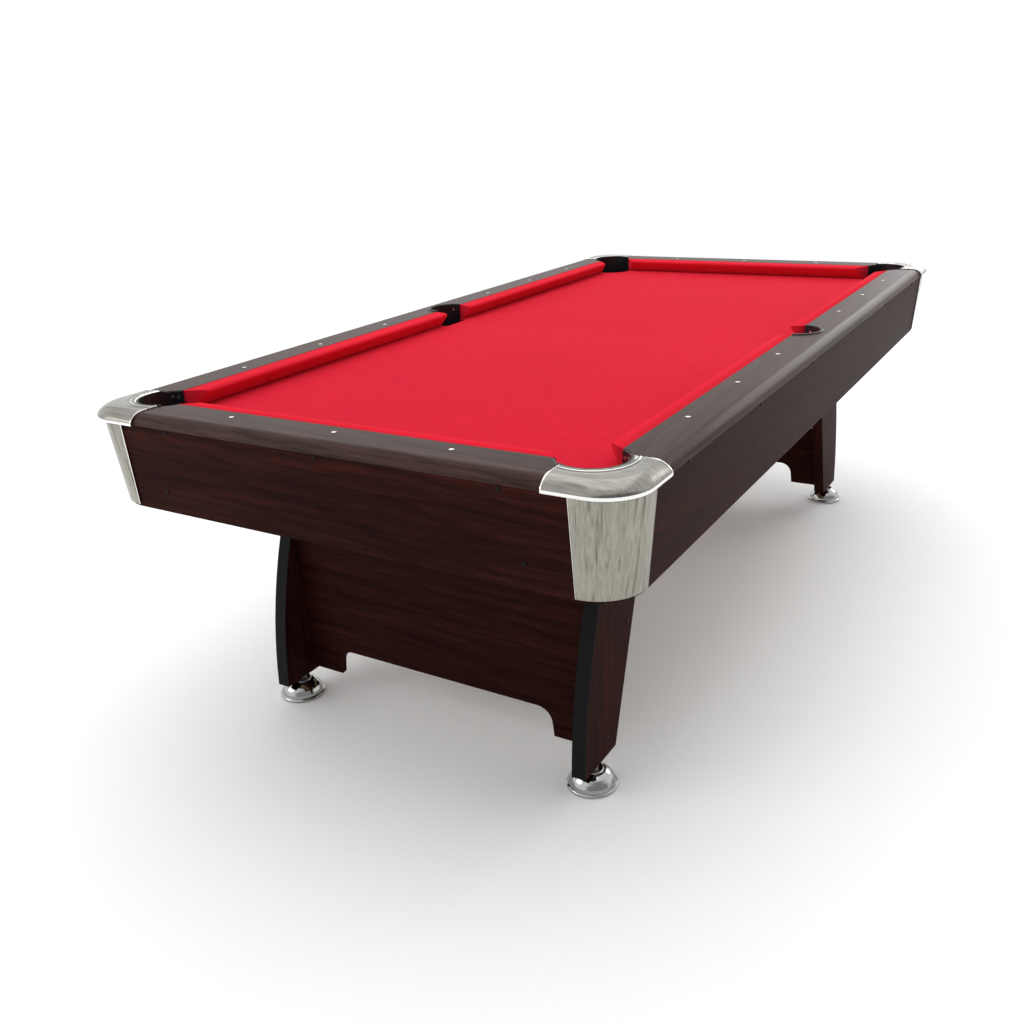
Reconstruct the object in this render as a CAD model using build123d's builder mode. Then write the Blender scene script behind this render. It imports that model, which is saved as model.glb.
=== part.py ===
"""Eight-foot pool table on two panel pedestals, every piece a separate solid.

Millimetres, +Z up. The origin is on the floor under the middle of the table.
The long axis is Y. The near end is at -Y, the right side at +X.
Pieces that stand at each corner are drawn at the near right one and mirrored.
"""

import os
from math import cos, radians, sin

from build123d import *

# ---------------------------------------------------------------- driving dimensions
RAIL_TOP = 810.0  # floor to the top of the rails
RAIL_X = 642.0  # half width over the rails
RAIL_Y = 1252.0  # half length over the rails
RAIL_CORNER = 82.0  # plan radius of the table's corners
RAIL_WIDTH = 100.0  # rail's flat board, cushion face to outer face
RAIL_EDGE = 26.0  # rounding of the rail's outer top edge
RAIL_SKIRT_Z = 787.0  # lower edge of the rail's outer face
RAIL_FOOT = 58.0  # width of the rail's foot on the bed
CUSHION = 40.0  # rail board to cushion nose
NOSE_RISE = 35.0  # nose above the cloth
CUSHION_TOE = 12.0  # cushion's width at its foot
CUSHION_GAP = 2.0  # cloth to the cushion's foot
NOSE_LIP = 3.0  # height of the nose's bevels below and above it
CUSHION_DROP = 1.5  # cushion's cloth below the rail's top

BED_TOP = 766.0
BED_THICK = 25.0
BED_X = 590.0
BED_Y = 1199.0
CLOTH = 1.0

APRON_BOTTOM = 593.0
APRON_SLOPE = 15.0  # how far the apron leans in over its height
APRON_INSET = 6.0  # apron's top edge behind the rail's outer face
APRON_THICK = 18.0
APRON_CORNER = 88.0

CORNER_POCKET = (516.0, -1124.0)  # plan centre of the near right pocket
CORNER_POCKET_R = 64.0
SIDE_POCKET_X = 538.0
SIDE_POCKET_R = 57.0
SIDE_SHELF_X = 510.0  # bed's edge in the side pocket
LINER = 4.0
POCKET_GAP = 0.4
LINER_BOTTOM = 617.0
LINER_STEP = 1.0  # liner's wall below the rail's top and below the bed's underside
CUP_EDGE = 3.0  # chamfer and fillet at the cup's mouth and bottom
CORNER_WALL = 110.0  # degrees of wall each side of the pocket's heading
SIDE_WALL = 86.0
SIDE_RIM = (8.0, 3.0)  # side pocket rim: width, height over the rail
SIDE_RIM_EDGE = 2.0  # its bevels
FACING_LEAD = 35.0  # how much longer a cushion is at its wood than at its nose
END_FACING_OFF = 56.0  # corner pocket's centre to the end cushion's wood
LONG_FACING_OFF = 62.5  # corner pocket's centre to the long cushion's wood
SIDE_FACING_LEAD = 2.0
SIDE_FACING_OFF = 5.0  # side pocket's hole to the long cushion's wood

CAP_PROUD = 6.0
CAP_THICK = 3.0
CAP_GAP = 0.05  # under the cap's plate
CAP_X = 486.0  # start of the corner cap along the end rail
CAP_Y = 1096.0  # start of the corner cap along the long rail
SKIRT_THICK = 3.5
SKIRT_GAP = 0.5
SKIRT_TOP_GAP = 0.2  # skirt's top below the cap's lower edge
SKIRT_BOTTOM = 601.0
SKIRT_REACH = (92.0, 110.0)  # from the corner, at the bottom and at the top

SIGHT_PITCH_Y = 280.0
SIGHT_PITCH_X = 267.7
SIGHT_X = 572.6
SIGHT_Y = 1182.8
SIGHT_R = 6.0
SIGHT_DEPTH = 2.0  # depth of the sight's head in the rail
SIGHT_PROUD = 0.6
SIGHT_PIN_R = 3.0
SIGHT_PIN = 7.0  # length of the sight's pin
SIGHT_PLAY = 0.1

LEG_OUTER_X = 430.0
LEG_THICK = 33.0
LEG_BOTTOM = 52.0
LEG_FRONT = ((-1010.0, LEG_BOTTOM), (-988.5, 240.0), (-937.0, 425.0))  # y, z down the near legs' bow
LEG_BACK = ((-690.0, 592.0), (-866.0, LEG_BOTTOM))  # y, z down the straight back edge
BAND = 2.0  # black band glued on the bowed edge
PANEL_Y = 914.0  # outer face of the pedestal's cross panel
PANEL_THICK = 15.0
PANEL_BOTTOM = 65.0
ARCH = (303.0, 296.0, 133.0)  # half width at the bottom, at the top, and the arch's top
ARCH_FILLET = 38.0
BRACE_Y = 802.0
BRACE_Z = 332.0
BRACE_THICK = 25.0
BRACE_DEPTH = 45.0

BEAM_THICK = 35.0
BEAM_DEPTH = 120.0
CROSS_DEPTH = 100.0
CROSS_BEAMS = (-450.0, 0.0, 450.0)
OUTRIGGER = 16.0
OUTRIGGER_BACK_Y = 690.0
BATTEN = 12.0
BATTEN_LIFT = 4.0  # batten's lower edge above the bed's underside
SCREW_PLAY = 0.2  # radial clearance of a bolt or screw in a plain hole

FOOT = (413.5, -950.0)
FOOT_R = 56.0
FOOT_RIM = 4.0
FOOT_DOME = ((47.0, 28.0), (24.0, 42.0))  # radius, z of the dome's swell and its shoulder
STEM_R = 6.0
RUNNING = 0.05  # radial clearance of the stem where it turns
STEM_TOP = 128.0
STEM_CHAMFER = 1.2
STEM_HEX = (22.0, 6.0)  # across flats, height
SOCKET_BOTTOM = 12.0
FACE_GAP = 0.3
FLANGE = 2.0
FLANGE_R = 16.0
INSERT_WALL = 3.5
INSERT_DEPTH = 30.0

# ---------------------------------------------------------------- worked out
WOOD_X = RAIL_X - RAIL_WIDTH
WOOD_Y = RAIL_Y - RAIL_WIDTH - 1
CLOTH_TOP = BED_TOP + CLOTH
BED_BOTTOM = BED_TOP - BED_THICK
NOSE_Z = CLOTH_TOP + NOSE_RISE
LEG_INNER_X = LEG_OUTER_X - LEG_THICK
PANEL_MID_Y = PANEL_Y - PANEL_THICK / 2
PANEL_INNER_Y = PANEL_Y - PANEL_THICK
APRON_HEIGHT = RAIL_SKIRT_Z - APRON_BOTTOM
APRON_TOP_X = RAIL_X - APRON_INSET
APRON_TOP_Y = RAIL_Y - APRON_INSET
APRON_LOW_X = APRON_TOP_X - APRON_SLOPE
APRON_LOW_Y = APRON_TOP_Y - APRON_SLOPE
POST_X = APRON_LOW_X - APRON_CORNER - 2
POST_Y = APRON_LOW_Y - APRON_CORNER - 2
BATTEN_X = RAIL_X - RAIL_WIDTH + RAIL_FOOT + 2
BATTEN_Y = RAIL_Y - RAIL_WIDTH + RAIL_FOOT + 2
BATTEN_Z = BED_BOTTOM + BATTEN_LIFT
END_BATTEN_X = CORNER_POCKET[0] - CORNER_POCKET_R - 2 * BATTEN
CORNER_CUT_R = CORNER_POCKET_R + LINER + POCKET_GAP
SIDE_CUT_R = SIDE_POCKET_R + LINER + POCKET_GAP
SIDE_RIM_R = SIDE_POCKET_R + SIDE_RIM[0]
SIDE_RIM_TOP = RAIL_TOP + SIDE_RIM[1]
SIDE_RIM_Z = RAIL_TOP - SIDE_RIM[1]
RAIL_END_X = CAP_X + 14
RAIL_END_Y = CAP_Y + 16
OUTRIGGER_END_Y = APRON_LOW_Y - APRON_THICK - 2
CAP_BOTTOM = RAIL_SKIRT_Z - 1
SKIRT_TOP = CAP_BOTTOM - SKIRT_TOP_GAP
HEX_TOP = LEG_BOTTOM - FLANGE - FACE_GAP
HEX_BOTTOM = HEX_TOP - STEM_HEX[1]
NECK_TOP = HEX_BOTTOM - FACE_GAP
BIG = 3000.0
CUT_LOW = 700.0  # cutting boxes and bars run from here
CUT_HIGH = 900.0
CUT_PAST = 5.0  # and run past the faces they cut by this much

FLIPS = {
    "near_right": (False, False),
    "near_left": (True, False),
    "far_right": (False, True),
    "far_left": (True, True),
}
SIDES = {"right": (False, False), "left": (True, False)}
ENDS = {"near": (False, False), "far": (False, True)}

RAIL_BOLT_X = 566.0
RAIL_BOLT_Y = 1176.0
LONG_BOLTS = [(sx * RAIL_BOLT_X, sy * y) for sx in (-1, 1) for sy in (-1, 1) for y in (180, 520, 880)]
END_BOLTS = [(x, sy * RAIL_BOLT_Y) for sy in (-1, 1) for x in (-300, 0, 300)]
RAIL_BOLT_R = 4.0
RAIL_BOLT_HEAD = (13.0, 6.0)  # across flats, height
RAIL_BOLT_COVER = 14.0  # wood left over the bolt's hole
LEG_BOLT_HEAD = (17.0, 7.0)
LEG_BOLT_NUT = (17.0, 8.0)
RAIL_WASHER = (12.0, 2.0)  # radius, thickness
LEG_WASHER = (14.0, 2.0)

LEG_BOLTS = [(-750.0, 665.0), (-850.0, 705.0)]  # y, z at the near legs
LEG_BOLT_R = 5.0
LEG_BOLT_END = 2.0  # bolt's end beyond its nut
PANEL_SCREWS = [(-PANEL_MID_Y, 97.0), (-PANEL_MID_Y, 421.0)]  # y, z at the near legs
LEG_SCREWS = PANEL_SCREWS + [(-BRACE_Y, BRACE_Z)]
PANEL_SCREW_R = 3.5
PANEL_SCREW_DEPTH = 24.0
CAP_R = 6.5
CAP_HEIGHT = 1.5
CAP_EDGE = 0.7
APRON_SCREW_R = 2.5
APRON_SCREW_HEAD_R = 4.5
APRON_SCREW_HEAD = (0.5, 1.5)  # start and end of the head off the apron's face
APRON_HOLE_R = APRON_SCREW_R + SCREW_PLAY
APRON_SCREW_Z = 778.0
LONG_SCREWS = [-990.0, -595.0, -198.0, 198.0, 595.0, 990.0]
END_SCREWS = [-400.0, 0.0, 400.0]
LOW_SCREW_X = LEG_OUTER_X + OUTRIGGER / 2
LOW_SCREW_Z = 643.0
LOW_SCREW_DEPTH = 20.0
LINER_SCREW_R = 1.8
LINER_SCREW_LENGTH = 12.0
LINER_SCREW_HEAD = (3.6, 1.4)  # radius, height
HEAD_GAP = 0.15  # a flat head stands off the liner's hollow wall by this much
CORNER_LINER_SCREWS = [(46.0, 798.0), (58.0, 796.0)]  # heading in degrees, z in the near right pocket
SIDE_LINER_SCREWS = [(-69.0, 796.0), (69.0, 796.0)]

os.makedirs("parts", exist_ok=True)


# ---------------------------------------------------------------- helpers
def write(piece, name):
    """Label a finished piece and write it as its own STEP file."""
    piece.part.label = name
    export_step(piece.part, f"parts/{name}.step")


def write_mirrored(blank, stem, places):
    """Write a piece drawn at the near right place again at each of the places named."""
    for place, (flip_x, flip_y) in places.items():
        with BuildPart() as piece:
            add(blank.part)
            if flip_x:
                mirror(about=Plane.YZ, mode=Mode.REPLACE)
            if flip_y:
                mirror(about=Plane.XZ, mode=Mode.REPLACE)
        write(piece, f"{stem}_{place}")


def write_group(name, *copied):
    """Write like pieces, each copied to its places, as separate solids in one node."""
    with BuildPart() as group:
        for blank, places in copied:
            for flip_x, flip_y in places.values():
                with BuildPart(mode=Mode.PRIVATE) as copy:
                    add(blank.part)
                    if flip_x:
                        mirror(about=Plane.YZ, mode=Mode.REPLACE)
                    if flip_y:
                        mirror(about=Plane.XZ, mode=Mode.REPLACE)
                add(copy.part)
    write(group, name)


def plan_block(half_x, half_y, radius, low, high, mode=Mode.ADD):
    """A rounded rectangle about the origin, raised from one height to another."""
    with BuildSketch(Plane.XY.offset(low)) as outline:
        RectangleRounded(2 * half_x, 2 * half_y, radius)
    extrude(outline.sketch, amount=high - low, mode=mode)


def rail_block(grow_side, top, low, mode=Mode.ADD):
    """The table's whole outline with its rounded top edge, cut off at a height."""
    with BuildPart() as block:
        plan_block(RAIL_X + grow_side, RAIL_Y + grow_side, RAIL_CORNER + grow_side, CUT_LOW, top)
        fillet(block.edges().group_by(Axis.Z)[-1], RAIL_EDGE + grow_side / 3)
        split(bisect_by=Plane.XY.offset(low), keep=Keep.TOP)
    add(block.part, mode=mode)


def apron_block(grow, low, high, mode=Mode.ADD):
    """The leaning outline of the apron between two heights, grown outwards by a distance."""
    levels = []
    for z in (low, high):
        lean = APRON_SLOPE * (z - APRON_BOTTOM) / APRON_HEIGHT
        with BuildSketch(Plane.XY.offset(z)) as level:
            RectangleRounded(
                2 * (APRON_LOW_X + lean + grow), 2 * (APRON_LOW_Y + lean + grow), APRON_CORNER + grow
            )
        levels.append(level.sketch)
    loft(levels, mode=mode)


def block(low, high, mode=Mode.ADD):
    """A box between two corners, added, taken away or kept."""
    size = [b - a for a, b in zip(low, high)]
    middle = tuple((a + b) / 2 for a, b in zip(low, high))
    with Locations(middle):
        Box(*size, mode=mode)


def rod(start, end, radius, mode=Mode.ADD):
    """A round bar or hole between two points."""
    axis = Vector(*end) - Vector(*start)
    with BuildSketch(Plane(origin=start, z_dir=axis)) as section:
        Circle(radius)
    extrude(section.sketch, amount=axis.length, mode=mode)


def hexagon(start, end, across_flats, mode=Mode.ADD):
    """A hexagonal bar between two points, such as a bolt head."""
    axis = Vector(*end) - Vector(*start)
    with BuildSketch(Plane(origin=start, z_dir=axis)) as section:
        RegularPolygon(across_flats / 2, 6, major_radius=False)
    extrude(section.sketch, amount=axis.length, mode=mode)


def corner_pockets():
    """Plan centres of the four corner pockets."""
    x, y = CORNER_POCKET
    return [(sx * x, sy * -y) for sx in (-1, 1) for sy in (-1, 1)]


# ---------------------------------------------------------------- bed
def bed_outline(grow):
    """Plan of the bed with its six pocket cut-outs, whose corners are open to the outside."""
    corner_r = CORNER_CUT_R + CLOTH - grow
    side_r = SIDE_CUT_R + CLOTH - grow
    Rectangle(2 * (BED_X + grow), 2 * (BED_Y + grow))
    with Locations(*corner_pockets()):
        Circle(corner_r, mode=Mode.SUBTRACT)
    for x, y in corner_pockets():
        sx = 1 if x > 0 else -1
        sy = 1 if y > 0 else -1
        with Locations((x + sx * 100, y + sy * 100)):
            Rectangle(200, 200, mode=Mode.SUBTRACT)
        with Locations((x + sx * 100, y)):
            Rectangle(200, 2 * corner_r, mode=Mode.SUBTRACT)
        with Locations((x, y + sy * 100)):
            Rectangle(2 * corner_r, 200, mode=Mode.SUBTRACT)
    for sx in (-1, 1):
        with BuildSketch() as notch:
            with Locations((sx * SIDE_POCKET_X, 0)):
                Circle(side_r)
            with Locations((sx * (SIDE_SHELF_X + grow + 100), 0)):
                Rectangle(200, 4 * side_r, mode=Mode.INTERSECT)
            with Locations((sx * (SIDE_POCKET_X + 50), 0)):
                Rectangle(100, 2 * side_r)
        add(notch.sketch, mode=Mode.SUBTRACT)


with BuildPart() as bed_board:
    with BuildSketch(Plane.XY.offset(BED_BOTTOM)):
        bed_outline(0)
    extrude(amount=BED_THICK)
    for x, y in LONG_BOLTS + END_BOLTS:
        rod((x, y, BED_BOTTOM), (x, y, BED_TOP), RAIL_BOLT_R + SCREW_PLAY, mode=Mode.SUBTRACT)
write(bed_board, "bed_board")

with BuildPart() as bed_cloth:
    with BuildSketch(Plane.XY.offset(BED_BOTTOM)):
        bed_outline(CLOTH)
    extrude(amount=BED_THICK + CLOTH)
    with BuildSketch(Plane.XY.offset(BED_BOTTOM)):
        bed_outline(0)
    extrude(amount=BED_THICK, mode=Mode.SUBTRACT)
    for x, y in LONG_BOLTS + END_BOLTS:
        rod((x, y, BED_TOP), (x, y, CLOTH_TOP), RAIL_BOLT_R + SCREW_PLAY, mode=Mode.SUBTRACT)
write(bed_cloth, "bed_cloth")


# ---------------------------------------------------------------- rails
def rail_ring():
    """All four rails as one ring: rounded outside, a foot on the bed, an overhang on the apron."""
    rail_block(0, RAIL_TOP, CLOTH_TOP)
    block((-WOOD_X, -WOOD_Y, CUT_LOW), (WOOD_X, WOOD_Y, CUT_HIGH), mode=Mode.SUBTRACT)
    with BuildSketch(Plane.XY.offset(CUT_LOW)) as overhang:
        Rectangle(BIG, BIG)
        Rectangle(2 * (WOOD_X + RAIL_FOOT), 2 * (RAIL_Y - RAIL_WIDTH + RAIL_FOOT), mode=Mode.SUBTRACT)
    extrude(overhang.sketch, amount=RAIL_SKIRT_Z - CUT_LOW, mode=Mode.SUBTRACT)


def rail_holes(bolts, sights):
    """Blind holes for the rail bolts from below and for the sights from above."""
    for x, y in bolts:
        hole_r = RAIL_BOLT_R + SCREW_PLAY
        rod((x, y, CLOTH_TOP), (x, y, RAIL_TOP - RAIL_BOLT_COVER), hole_r, mode=Mode.SUBTRACT)
    for x, y in sights:
        seat = RAIL_TOP - SIGHT_DEPTH
        rod((x, y, seat), (x, y, RAIL_TOP), SIGHT_R + SIGHT_PLAY, mode=Mode.SUBTRACT)
        rod((x, y, seat - SIGHT_PIN - 1), (x, y, seat), SIGHT_PIN_R + SIGHT_PLAY, mode=Mode.SUBTRACT)


def screw_ends(centre, wall_r, heading, z):
    """Point, underside of the head and its top, of a screw driven out through a liner's wall."""
    out = Vector(cos(radians(heading)), sin(radians(heading)), 0)
    seat = Vector(centre[0], centre[1], z) + out * (wall_r - HEAD_GAP)
    return seat + out * LINER_SCREW_LENGTH, seat, seat - out * LINER_SCREW_HEAD[1]


def liner_screw_holes(pocket, wall_r, screws):
    """Holes for the screws of one pocket's liner."""
    for heading, z in screws:
        point, seat, _ = screw_ends(pocket, wall_r, heading, z)
        rod(seat, point, LINER_SCREW_R, mode=Mode.SUBTRACT)


def pocket_cuts():
    """Clear the rails around the six pocket liners."""
    for x, y in corner_pockets():
        rod((x, y, CUT_LOW), (x, y, CUT_HIGH), CORNER_CUT_R, mode=Mode.SUBTRACT)
    for sx in (-1, 1):
        x = sx * SIDE_POCKET_X
        rod((x, 0, CUT_LOW), (x, 0, CUT_HIGH), SIDE_CUT_R, mode=Mode.SUBTRACT)
        rod((x, 0, SIDE_RIM_Z - 1), (x, 0, CUT_HIGH), SIDE_RIM_R + POCKET_GAP, mode=Mode.SUBTRACT)


LONG_SIGHTS = [(SIGHT_X, s * n * SIGHT_PITCH_Y) for s in (-1, 1) for n in (1, 2, 3)]
END_SIGHTS = [(n * SIGHT_PITCH_X, -SIGHT_Y) for n in (-1, 0, 1)]

with BuildPart() as long_rail:
    rail_ring()
    block((0, -RAIL_END_Y, CUT_LOW), (BIG, RAIL_END_Y, CUT_HIGH), Mode.INTERSECT)
    pocket_cuts()
    rail_holes([b for b in LONG_BOLTS if b[0] > 0], LONG_SIGHTS)
    x, y = CORNER_POCKET
    liner_screw_holes((x, y), CORNER_POCKET_R, CORNER_LINER_SCREWS)
    liner_screw_holes((x, -y), CORNER_POCKET_R, [(-heading, z) for heading, z in CORNER_LINER_SCREWS])
    liner_screw_holes((SIDE_POCKET_X, 0), SIDE_POCKET_R, SIDE_LINER_SCREWS)
write_mirrored(long_rail, "long_rail", SIDES)

with BuildPart() as end_rail:
    rail_ring()
    block((-RAIL_END_X, -BIG, CUT_LOW), (RAIL_END_X, 0, CUT_HIGH), Mode.INTERSECT)
    pocket_cuts()
    rail_holes([b for b in END_BOLTS if b[1] < 0], END_SIGHTS)
write_mirrored(end_rail, "end_rail", ENDS)

with BuildPart() as rail_sights:
    all_sights = [(s * x, y) for s in (-1, 1) for x, y in LONG_SIGHTS]
    all_sights += [(x, s * y) for s in (-1, 1) for x, y in END_SIGHTS]
    for x, y in all_sights:
        seat = RAIL_TOP - SIGHT_DEPTH
        rod((x, y, seat), (x, y, RAIL_TOP + SIGHT_PROUD), SIGHT_R)
        rod((x, y, seat - SIGHT_PIN), (x, y, seat), SIGHT_PIN_R)
write(rail_sights, "rail_sights")

with BuildPart() as rail_bolts:
    for x, y in LONG_BOLTS + END_BOLTS:
        washer = BED_BOTTOM - RAIL_WASHER[1]
        rod((x, y, washer), (x, y, BED_BOTTOM), RAIL_WASHER[0])
        hexagon((x, y, washer - RAIL_BOLT_HEAD[1]), (x, y, washer), RAIL_BOLT_HEAD[0])
        rod((x, y, BED_BOTTOM), (x, y, RAIL_TOP - RAIL_BOLT_COVER - 2), RAIL_BOLT_R)
write(rail_bolts, "rail_bolts")


# ---------------------------------------------------------------- cushions
def cushion_profile(skin):
    """Section of a cushion from its wooden backing (u = 0) to its nose, grown by its cloth."""
    base = CLOTH_TOP + CUSHION_GAP - skin
    with BuildLine() as section:
        Polyline(
            (0, base),
            (CUSHION_TOE + skin, base),
            (CUSHION - 2 + skin, NOSE_Z - NOSE_LIP),
            (CUSHION - 1 + skin, NOSE_Z),
            (CUSHION - NOSE_LIP + skin, NOSE_Z + NOSE_LIP + skin),
            (0, RAIL_TOP - CUSHION_DROP + skin),
            close=True,
        )
    make_face(section.edges())


def long_cushion(skin):
    """Cushion from the near right corner pocket to the right side pocket."""
    shrink = CLOTH - skin
    wood_end = -CORNER_POCKET[1] - LONG_FACING_OFF - shrink
    nose_end = wood_end - FACING_LEAD - CUT_PAST
    side_wood = SIDE_POCKET_R + SIDE_FACING_OFF + shrink
    side_nose = side_wood + SIDE_FACING_LEAD
    with BuildSketch(Plane(origin=(WOOD_X, 0, 0), x_dir=(-1, 0, 0), z_dir=(0, 1, 0))) as section:
        cushion_profile(skin)
    extrude(section.sketch, amount=-BIG / 2)
    with BuildSketch(Plane.XY.offset(CUT_LOW)) as plan:
        Polygon(
            (WOOD_X, -wood_end),
            (WOOD_X, -side_wood),
            (WOOD_X - CUSHION - CUT_PAST, -side_nose),
            (WOOD_X - CUSHION - CUT_PAST, -nose_end),
            align=None,
        )
    extrude(plan.sketch, amount=CUT_HIGH - CUT_LOW, mode=Mode.INTERSECT)


def end_cushion(skin):
    """Cushion between the two near corner pockets."""
    shrink = CLOTH - skin
    wood_end = CORNER_POCKET[0] - END_FACING_OFF - shrink
    nose_end = wood_end - FACING_LEAD - CUT_PAST
    with BuildSketch(Plane(origin=(0, -WOOD_Y, 0), x_dir=(0, 1, 0), z_dir=(1, 0, 0))) as section:
        cushion_profile(skin)
    extrude(section.sketch, amount=BIG / 2, both=True)
    with BuildSketch(Plane.XY.offset(CUT_LOW)) as plan:
        Polygon(
            (-wood_end, -WOOD_Y),
            (wood_end, -WOOD_Y),
            (nose_end, -WOOD_Y + CUSHION + CUT_PAST),
            (-nose_end, -WOOD_Y + CUSHION + CUT_PAST),
            align=None,
        )
    extrude(plan.sketch, amount=CUT_HIGH - CUT_LOW, mode=Mode.INTERSECT)


with BuildPart() as long_rubber:
    long_cushion(0)
write_group("long_cushion_rubbers", (long_rubber, FLIPS))

with BuildPart() as end_rubber:
    end_cushion(0)
write_group("end_cushion_rubbers", (end_rubber, ENDS))

with BuildPart() as long_cushion_cloth:
    long_cushion(CLOTH)
    add(long_rubber.part, mode=Mode.SUBTRACT)
write_mirrored(long_cushion_cloth, "cushion_cloth", FLIPS)

with BuildPart() as end_cushion_cloth:
    end_cushion(CLOTH)
    add(end_rubber.part, mode=Mode.SUBTRACT)
write_mirrored(end_cushion_cloth, "end_cushion_cloth", ENDS)


# ---------------------------------------------------------------- pocket liners
def pocket_cup(x, y, radius):
    """A drop pocket's cup, closed below, with its mouth chamfered under the bed's edge."""
    top = BED_BOTTOM - POCKET_GAP
    rod((x, y, LINER_BOTTOM), (x, y, top), radius + LINER)
    rod((x, y, LINER_BOTTOM + LINER), (x, y, top), radius, mode=Mode.SUBTRACT)
    chamfer(edges().filter_by(GeomType.CIRCLE).group_by(Axis.Z)[-1].sort_by(SortBy.RADIUS)[0], CUP_EDGE)
    fillet(edges().filter_by(GeomType.CIRCLE).group_by(Axis.Z)[0], CUP_EDGE)


def wall_plane(x, y, heading):
    """Upright plane through a pocket's centre line: u away from the centre, v up."""
    out = (cos(radians(heading)), sin(radians(heading)), 0)
    return Plane(origin=(x, y, 0), x_dir=out, z_dir=(out[1], -out[0], 0))


with BuildPart() as corner_liner:
    pocket_cup(*CORNER_POCKET, CORNER_POCKET_R)
    x, y = CORNER_POCKET
    with BuildSketch(wall_plane(x, y, -45 - CORNER_WALL)) as wall:
        with BuildLine():
            Polyline(
                (CORNER_POCKET_R, BED_BOTTOM - LINER_STEP),
                (CORNER_POCKET_R + LINER, BED_BOTTOM - LINER_STEP),
                (CORNER_POCKET_R + LINER, RAIL_TOP - LINER_STEP),
                (CORNER_POCKET_R, RAIL_TOP - LINER_STEP),
                close=True,
            )
        make_face()
    revolve(wall.sketch, axis=Axis((x, y, 0), (0, 0, 1)), revolution_arc=2 * CORNER_WALL)
    liner_screw_holes(CORNER_POCKET, CORNER_POCKET_R, CORNER_LINER_SCREWS)
write_mirrored(corner_liner, "corner_pocket_liner", FLIPS)

with BuildPart() as side_liner:
    pocket_cup(SIDE_POCKET_X, 0, SIDE_POCKET_R)
    with BuildSketch(wall_plane(SIDE_POCKET_X, 0, -SIDE_WALL)) as wall:
        with BuildLine():
            Polyline(
                (SIDE_POCKET_R, BED_BOTTOM - LINER_STEP),
                (SIDE_POCKET_R + LINER, BED_BOTTOM - LINER_STEP),
                (SIDE_POCKET_R + LINER, SIDE_RIM_Z),
                (SIDE_RIM_R, SIDE_RIM_Z),
                (SIDE_RIM_R, SIDE_RIM_TOP - SIDE_RIM_EDGE),
                (SIDE_RIM_R - SIDE_RIM_EDGE, SIDE_RIM_TOP),
                (SIDE_POCKET_R + SIDE_RIM_EDGE, SIDE_RIM_TOP),
                (SIDE_POCKET_R, SIDE_RIM_TOP - SIDE_RIM_EDGE),
                close=True,
            )
        make_face()
    revolve(wall.sketch, axis=Axis((SIDE_POCKET_X, 0, 0), (0, 0, 1)), revolution_arc=2 * SIDE_WALL)
    liner_screw_holes((SIDE_POCKET_X, 0), SIDE_POCKET_R, SIDE_LINER_SCREWS)
write_mirrored(side_liner, "side_pocket_liner", SIDES)


def liner_screw(pocket, wall_r, heading, z):
    """One pan-headed screw standing in a pocket, its head on the liner's wall."""
    point, seat, top = screw_ends(pocket, wall_r, heading, z)
    rod(seat, point, LINER_SCREW_R)
    rod(top, seat, LINER_SCREW_HEAD[0])


with BuildPart() as liner_screws:
    for x, y in corner_pockets():
        for heading, z in CORNER_LINER_SCREWS:
            turned = heading if y < 0 else -heading
            liner_screw((x, y), CORNER_POCKET_R, turned if x > 0 else 180 - turned, z)
    for x in (SIDE_POCKET_X, -SIDE_POCKET_X):
        for heading, z in SIDE_LINER_SCREWS:
            liner_screw((x, 0), SIDE_POCKET_R, heading if x > 0 else 180 - heading, z)
write(liner_screws, "liner_screws")


# ---------------------------------------------------------------- corner trim
with BuildPart() as corner_cap:
    rail_block(CAP_PROUD, RAIL_TOP + CAP_THICK, CAP_BOTTOM)
    rail_block(POCKET_GAP, RAIL_TOP + CAP_GAP, CAP_BOTTOM - 1, mode=Mode.SUBTRACT)
    block((CAP_X, -BIG, CUT_LOW), (BIG, -CAP_Y, CUT_HIGH), Mode.INTERSECT)
    x, y = CORNER_POCKET
    rod((x, y, CUT_LOW), (x, y, CUT_HIGH), CORNER_CUT_R, mode=Mode.SUBTRACT)
write_mirrored(corner_cap, "corner_cap", FLIPS)


def skirt_sides():
    """Keep the corner of the shell, its two upright edges leaning out towards the top."""
    low_reach, high_reach = SKIRT_REACH
    for plane, low_edge in ((Plane.XZ, APRON_LOW_X), (Plane.YZ, APRON_LOW_Y)):
        sign = 1 if plane is Plane.XZ else -1
        start = low_edge + SKIRT_THICK
        with BuildSketch(plane) as side:
            Polygon(
                (sign * (start - low_reach), SKIRT_BOTTOM),
                (sign * BIG, SKIRT_BOTTOM),
                (sign * BIG, RAIL_SKIRT_Z),
                (sign * (start + APRON_SLOPE - high_reach), RAIL_SKIRT_Z),
                align=None,
            )
        extrude(side.sketch, amount=BIG, both=True, mode=Mode.INTERSECT)


with BuildPart() as corner_skirt:
    apron_block(SKIRT_GAP + SKIRT_THICK, SKIRT_BOTTOM, SKIRT_TOP)
    apron_block(SKIRT_GAP, SKIRT_BOTTOM, SKIRT_TOP, mode=Mode.SUBTRACT)
    skirt_sides()
write_mirrored(corner_skirt, "corner_skirt", FLIPS)


# ---------------------------------------------------------------- apron and its corner posts
def apron_shell():
    """The whole leaning box of the cabinet, open above and below."""
    apron_block(0, APRON_BOTTOM, RAIL_SKIRT_Z)
    apron_block(-APRON_THICK, APRON_BOTTOM, RAIL_SKIRT_Z, mode=Mode.SUBTRACT)


def apron_face(z):
    """How far the apron's outer face stands inside its top edge at a height."""
    return APRON_SLOPE * (RAIL_SKIRT_Z - z) / APRON_HEIGHT


SCREW_FACE_X = APRON_TOP_X - apron_face(APRON_SCREW_Z)
SCREW_FACE_Y = APRON_TOP_Y - apron_face(APRON_SCREW_Z)
LOW_FACE_Y = APRON_TOP_Y - apron_face(LOW_SCREW_Z)


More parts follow.
